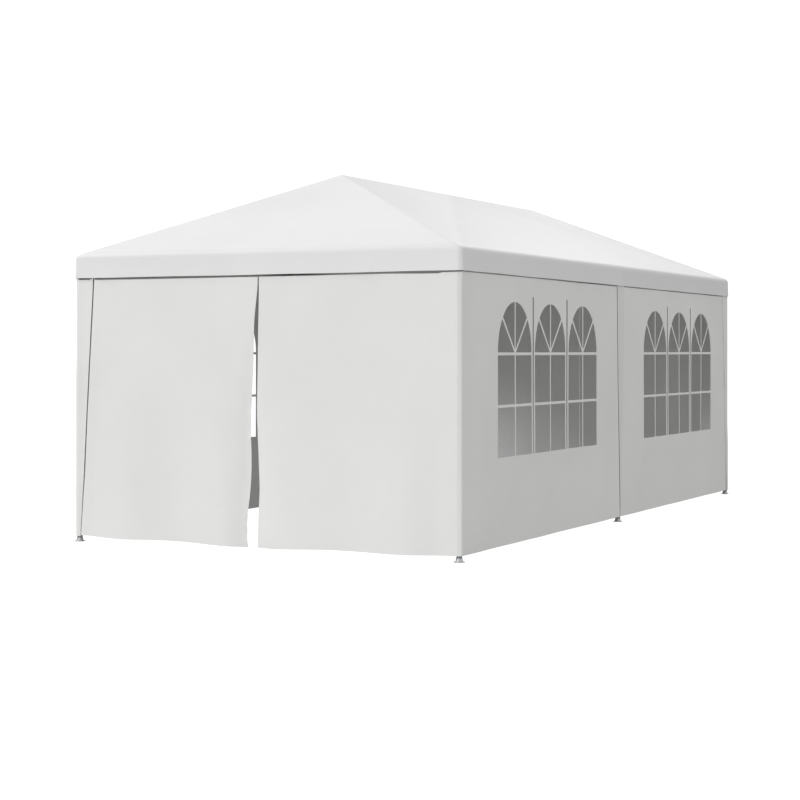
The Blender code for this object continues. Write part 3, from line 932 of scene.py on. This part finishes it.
# Painted light: the film's cover grows low down and towards the tent's front and back corners.
film_parts = put_node(clear_film, "ShaderNodeSeparateXYZ", links={0: film_place})
film_along = put_node(
    clear_film,
    "ShaderNodeMath",
    {"operation": "MULTIPLY"},
    {0: film_parts.outputs["X"], 1: film_parts.outputs["Y"]},
)
painted_haze = []
for settings, source in (
    ({"From Min": -2.35, "From Max": -3.55}, film_along.outputs[0]),
    ({"From Min": 3.00, "From Max": 3.30, "To Max": 0.60}, film_along.outputs[0]),
    ({"From Min": 1.08, "From Max": 0.63}, film_parts.outputs["Z"]),
):
    painted_haze.append(put_node(clear_film, "ShaderNodeMapRange", settings, {"Value": source}))
front_corner, back_corner, towards_sill = [node.outputs["Result"] for node in painted_haze]
at_corners = put_node(
    clear_film,
    "ShaderNodeMath",
    {"operation": "ADD"},
    {0: front_corner, 1: back_corner},
)
in_both = put_node(
    clear_film,
    "ShaderNodeMath",
    {"operation": "MULTIPLY"},
    {0: at_corners.outputs[0], 1: towards_sill},
)
haze = put_node(clear_film, "ShaderNodeMath", {"operation": "POWER", 1: 1.9}, {0: in_both.outputs[0]})
film_cover = put_node(
    clear_film,
    "ShaderNodeMapRange",
    {"To Min": 0.012, "To Max": 0.345},
    {"Value": haze.outputs[0]},
)
connect(clear_film, film_cover.outputs["Result"], film_shader, "Alpha")
FILM = 0.0005
FILM_GAP = 0.0004
FILM_MARGIN = 0.035
FILM_STEP = 0.06


def to_round(edge):
    return [(on_side(y), z) for y, z in edge]


LACED_SPACE = 0.021
first_start = LEG_X - 0.050
first_outline = [(first_start, WALL_HEM)] + to_round(FIRST_EDGE) + [(first_start, WALL_TOP)]
second_start = [(on_side(y + LACED_SPACE), z) for y, z in FIRST_EDGE[::-1]]
second_outline = to_round(FAR_EDGE) + second_start
first_gap = (first_start - 0.01, on_side(-0.092))
second_gap = (on_side(0.082), on_side(2.82))
for bay, outline, gap, hang, tone_at, leg_y in (
    ("first", first_outline, first_gap, first_wall_hang, first_wall_tone, -LEG_Y),
    ("second", second_outline, second_gap, second_wall_hang, second_wall_tone, 0.0),
):
    for turn in (0, HALF_ROUND):
        right = turn == 0
        end = "front" if (bay == "first") == right else "back"
        label = f"{end}_{'right' if right else 'left'}"

        def turned_hang(s, z, turn=turn, hang=hang):
            return hang(s - turn, z)

        def film_hang(s, z, turn=turn, hang=hang):
            inset, level = hang(s - turn, z)
            return inset + WALL_CLOTH + FILM_GAP, level

        def turned_tone(s, z, turn=turn, tone_at=tone_at):
            return tone_at(s - turn, z)

        centre = on_side(leg_y + WINDOW_FROM_LEG) + turn
        openings = window_openings(centre) + ([hanging_gap(*gap)] if right else [])
        bends = [LEG_X + turn + BEND * k / 6 for k in range(7)] if bay == "first" else []
        bends += [on_side(0.012 * k) + turn for k in range(-1, 9)] if bay == "second" else []
        wall_outline = shift(outline, turn)
        wall = cut_cloth(
            f"side_wall_{label}", wall_outline, openings, turned_hang, wall_white,
            CLOTH_STEP, WALL_CLOTH, bends, turned_tone,
        )
        keep(wall, "wall_cloth", f"window_wall_{label}")
        half = LIGHT_SPACING + HALF_LIGHT + FILM_MARGIN
        low, high = SILL - FILM_MARGIN, SLIT_TOP + FILM_MARGIN
        start, stop = centre - half, centre + half
        film_outline = [(start, low), (stop, low), (stop, high), (start, high)]
        film = cut_cloth(f"film_{label}", film_outline, [], film_hang, clear_film, FILM_STEP, FILM)
        keep(film, "clear_vinyl", f"window_film_{label}")
        flat_area(outline, openings)

# Door curtains: a pair across each end, hung from the end rail behind the valance and parted in the
# middle. The same coated cloth, hanging free below, so it falls in soft upright folds.
LEFT_PARTING = [
    (-0.084, 0.020), (-0.090, 0.14), (-0.087, 0.24), (-0.070, 0.34), (-0.058, 0.47), (-0.054, 0.61),
    (-0.060, 0.78), (-0.058, 0.95), (-0.037, 1.28), (-0.028, 1.55), (0.0, 1.78), (0.0, WALL_TOP),
]
RIGHT_PARTING = [
    (-0.004, 0.020), (-0.003, 0.15), (0.012, 0.42), (-0.003, 0.74),
    (-0.012, 0.93), (0.009, 1.70), (0.007, WALL_TOP),
]
CLOSED_LEFT = [(-0.0088, 0.020), (-0.0084, WALL_TOP)]
CLOSED_RIGHT = [(-0.0072, 0.020), (-0.0076, WALL_TOP)]
FRONT_FOLDS = [
    (-1.48, 0.0), (-1.36, -0.2), (-1.094, 0.9), (-0.664, -0.9), (-0.263, 1.0), (-0.085, -0.7),
    (-0.010, -0.5), (0.190, 0.5), (0.640, -1.2), (1.090, 1.2), (1.36, -0.4), (1.46, 0.0),
]
BACK_FOLDS = [
    (-1.48, 0.0), (-1.30, -0.3), (-0.98, 0.8), (-0.55, -0.7), (-0.20, 0.5), (-0.01, -0.4),
    (0.34, 0.8), (0.76, -0.8), (1.10, 0.9), (1.33, -0.5), (1.46, 0.0),
]
CURTAIN_STEP = 0.025
CURTAIN_TURN_IN = 0.012


def curtain_hang(x, z, folds, turn_in):
    """Folds that open towards the hem, and edges that turn in a little beside an open parting."""
    down = ease(1.75 - z, 0.0, 1.75) ** 1.3
    free = 1 - ease(np.abs(x), 1.30, 1.455)
    slant = np.where(x < 0, 1.0, 0.25)
    lean = x + 0.10 * (z - 0.45) * slant * ease(np.abs(np.abs(x) - 0.75), 0.7, 0.3)
    fold = 0.015 * smooth_knots(lean, folds) + 0.0035 * np.sin(3.1 * z + 2.3 * x) + 0.006
    to_left = edge_at(LEFT_PARTING, z) - x
    to_right = x - edge_at(RIGHT_PARTING, z)
    low = 0.35 + 0.65 * ease(z, 0.15, 0.55)
    beside_left = ease(to_left, 0.10, 0.0) * low
    beside_right = 0.7 * ease(to_right, 0.07, 0.0)
    beside = np.where(to_left >= -1e-4, beside_left, beside_right)
    lap = edge_at(LAP_EDGE, z)
    lift = 0.0020 * ease(x - lap, 0.09, 0.0) * ease(1.97 - z, 0.0, 0.25)
    return OUTER - down * free * fold - lift + turn_in * beside * ease(1.65 - z, 0.0, 0.8), z


def curtain_tone(s, z):
    """The cloth takes a little less light lower down, away from the open eave."""
    return 1 - 0.018 * ease(1.75 - z, 0.0, 0.9)


# The hem rides lower towards the parting, and rises and falls with the folds.
HEM = [
    (-1.45, 0.0450), (-1.11, 0.0330), (-0.75, 0.0385), (-0.14, 0.0236),
    (0.09, 0.0234), (0.58, 0.0352), (1.06, 0.0315), (1.45, 0.0400),
]


def edge_points(points, count=26):
    heights = np.linspace(points[0][1], points[-1][1], count)
    return [(float(edge_at(points, z)), float(z)) for z in heights]


def curtain_outline(left, right):
    hem_xs = np.linspace(left[0][0], right[0][0], 60)
    hem = [(float(x), float(smooth_knots(x, HEM))) for x in hem_xs]
    left = [p for p in left if p[1] > hem[0][1] + 0.004]
    right = [p for p in right if p[1] > hem[-1][1] + 0.004]
    return hem + right + left[::-1]


plain_edge = [(LEG_X, 0.036), (LEG_X, WALL_TOP)]
for end, turn, folds, turn_in, left_parting, right_parting in (
    ("front", 0, FRONT_FOLDS, CURTAIN_TURN_IN, LEFT_PARTING, RIGHT_PARTING),
    ("back", HALF_ROUND, BACK_FOLDS, 0.0, CLOSED_LEFT, CLOSED_RIGHT),
):
    left_name, right_name = ("right", "left") if turn else ("left", "right")

    def turned_curtain(s, z, turn=turn, folds=folds, turn_in=turn_in):
        return curtain_hang(s - turn, z, folds, turn_in)

    for half_name, left, right, gap in (
        (left_name, edge_points(LAP_EDGE), edge_points(left_parting), (-1.327, 0.02)),
        (right_name, edge_points(right_parting), edge_points(plain_edge), (0.009, 1.49)),
    ):
        outline = curtain_outline(left, right)
        name = f"{end}_{half_name}"
        header_gap = [] if turn else [hanging_gap(*gap)]
        curtain = cut_cloth(
            f"curtain_{name}", shift(outline, turn), header_gap, turned_curtain, wall_white,
            CURTAIN_STEP, WALL_CLOTH, (), curtain_tone,
        )
        keep(curtain, "wall_cloth", f"door_curtain_{name}")
        flat_area(outline)

# Studio: a white floor lit from below like a light table, in a white surround. Both look plain white to
# the camera, except that the floor deep in the tent is drawn darker, as painted shade under the tent. Four
# large soft boxes stand round the tent.
PLAIN_WHITE = 1.12
DEEP_SHADE = 0.72


def looks_white(finish, output, lit, strength=None):
    """Plain white where the camera looks, and the given shader for the light that it throws."""
    path = put_node(finish, "ShaderNodeLightPath")
    white = put_node(finish, "ShaderNodeEmission", {"Color": (1, 1, 1, 1), "Strength": PLAIN_WHITE})
    if strength:
        finish.node_tree.links.new(strength, white.inputs["Strength"])
    mix = put_node(
        finish,
        "ShaderNodeMixShader",
        links={0: path.outputs["Is Camera Ray"], 1: lit, 2: white.outputs[0]},
    )
    finish.node_tree.links.new(mix.outputs[0], finish.node_tree.nodes[output].inputs["Surface"])


FLOOR_GLOW = 0.30
FRONT_GLOW = 0.60
INSIDE_GLOW = 0.29
light_table = bpy.data.materials.new("white_light_table")
light_table.use_nodes = True
floor_place = put_node(light_table, "ShaderNodeNewGeometry").outputs["Position"]
floor_parts = put_node(light_table, "ShaderNodeSeparateXYZ", links={0: floor_place})
floor_ways = {}
for axis, off_middle in (("X", "across"), ("Y", "along")):
    floor_ways[axis] = floor_parts.outputs[axis]
    size = put_node(light_table, "ShaderNodeMath", {"operation": "ABSOLUTE"}, {0: floor_ways[axis]})
    floor_ways[off_middle] = size.outputs[0]

# Parts of the floor, each bounded by soft edges: the way across one, and where it starts and ends.
FLOOR_PARTS = {
    "before_door": (("Y", -2.95, -3.05), ("Y", -7.0, -5.0)),
    "in_tent": (("across", 1.52, 1.48), ("along", 3.02, 2.98)),
    "deep_in_tent": (("X", -1.48, -1.42), ("X", 1.30, 1.10), ("Y", -0.55, 0.75), ("Y", 2.98, 2.92)),
}
floor_part = {}
for part_name, edges in FLOOR_PARTS.items():
    for way, start, end in edges:
        zone = put_node(
            light_table,
            "ShaderNodeMapRange",
            {"interpolation_type": "SMOOTHSTEP", "From Min": start, "From Max": end},
            {"Value": floor_ways[way]},
        ).outputs["Result"]
        if part_name in floor_part:
            links = {0: floor_part[part_name], 1: zone}
            zone = put_node(light_table, "ShaderNodeMath", {"operation": "MULTIPLY"}, links).outputs[0]
        floor_part[part_name] = zone
glow = put_node(
    light_table,
    "ShaderNodeMath",
    {"operation": "MULTIPLY_ADD", 1: FRONT_GLOW - FLOOR_GLOW, 2: FLOOR_GLOW},
    {0: floor_part["before_door"]},
)
glow = put_node(
    light_table,
    "ShaderNodeMath",
    {"operation": "MULTIPLY_ADD", 1: INSIDE_GLOW - FLOOR_GLOW},
    {0: floor_part["in_tent"], 2: glow.outputs[0]},
)
floor_light = put_node(light_table, "ShaderNodeEmission", links={"Strength": glow.outputs[0]})
# Painted shade: to the camera the floor deep in the tent is drawn darker, fading out towards the door.
shade = put_node(
    light_table,
    "ShaderNodeMath",
    {"operation": "MULTIPLY_ADD", 1: -DEEP_SHADE, 2: PLAIN_WHITE},
    {0: floor_part["deep_in_tent"]},
)
looks_white(light_table, "Material Output", floor_light.outputs[0], shade.outputs[0])
floor_shape = bmesh.new()
bmesh.ops.create_circle(floor_shape, cap_ends=True, segments=64, radius=60.0)
floor = new_piece("studio_floor", floor_shape, light_table)

surround = bpy.data.worlds.new("white_surround")
surround.use_nodes = True
background = surround.node_tree.nodes["Background"]
background.inputs["Color"].default_value = (1, 1, 1, 1)
background.inputs["Strength"].default_value = 0.525
looks_white(surround, "World Output", background.outputs[0])
bpy.context.scene.world = surround


BOX_SIZE = 8.0
BOX_DISTANCE = 20
TENT_MIDDLE = (0, 0, 1.2)


def soft_box(name, azimuth, elevation, power):
    """A large square soft box, turned to the tent's middle."""
    turn, rise = math.radians(azimuth), math.radians(elevation)
    towards = Vector((math.cos(turn) * math.cos(rise), math.sin(turn) * math.cos(rise), math.sin(rise)))
    lamp = bpy.data.lights.new(name, "AREA")
    lamp.size = BOX_SIZE
    lamp.energy = power
    box = bpy.data.objects.new(name, lamp)
    box.location = Vector(TENT_MIDDLE) + BOX_DISTANCE * towards
    box.rotation_euler = (-towards).to_track_quat("-Z", "Y").to_euler()
    box.visible_camera = False
    bpy.context.scene.collection.objects.link(box)


soft_box("left_front_box", -150, 38, 1780)
soft_box("front_box", -90, 10, 1215)
soft_box("right_box", 5, 10, 800)
soft_box("back_box", 90, 38, 897)

# Camera: where the photograph was taken from, level, in front of the tent's right corner, with a long
# lens. The lens is shifted instead of tilted, so that upright edges stay upright. Rows and columns are
# pixels of the photograph.
PHOTO_SIZE = 800
FOCAL_PIXELS = 1770.57
CENTRE_COLUMN = 440
HORIZON_ROW = 350.96
SENSOR_MM = 36.0
camera_data = bpy.data.cameras.new("camera")
camera = bpy.data.objects.new("camera", camera_data)
bpy.context.scene.collection.objects.link(camera)
bpy.context.scene.camera = camera
camera_data.sensor_width = SENSOR_MM
camera_data.lens = FOCAL_PIXELS / PHOTO_SIZE * SENSOR_MM
camera_data.shift_x = (PHOTO_SIZE / 2 - CENTRE_COLUMN) / PHOTO_SIZE
camera_data.shift_y = (HORIZON_ROW - PHOTO_SIZE / 2) / PHOTO_SIZE
camera_data.clip_end = 300
camera.location = (6.1711, -13.1618, 1.3397)
camera.rotation_euler = (math.pi / 2, 0, 0.44297)
bpy.context.scene.view_settings.view_transform = "Standard"
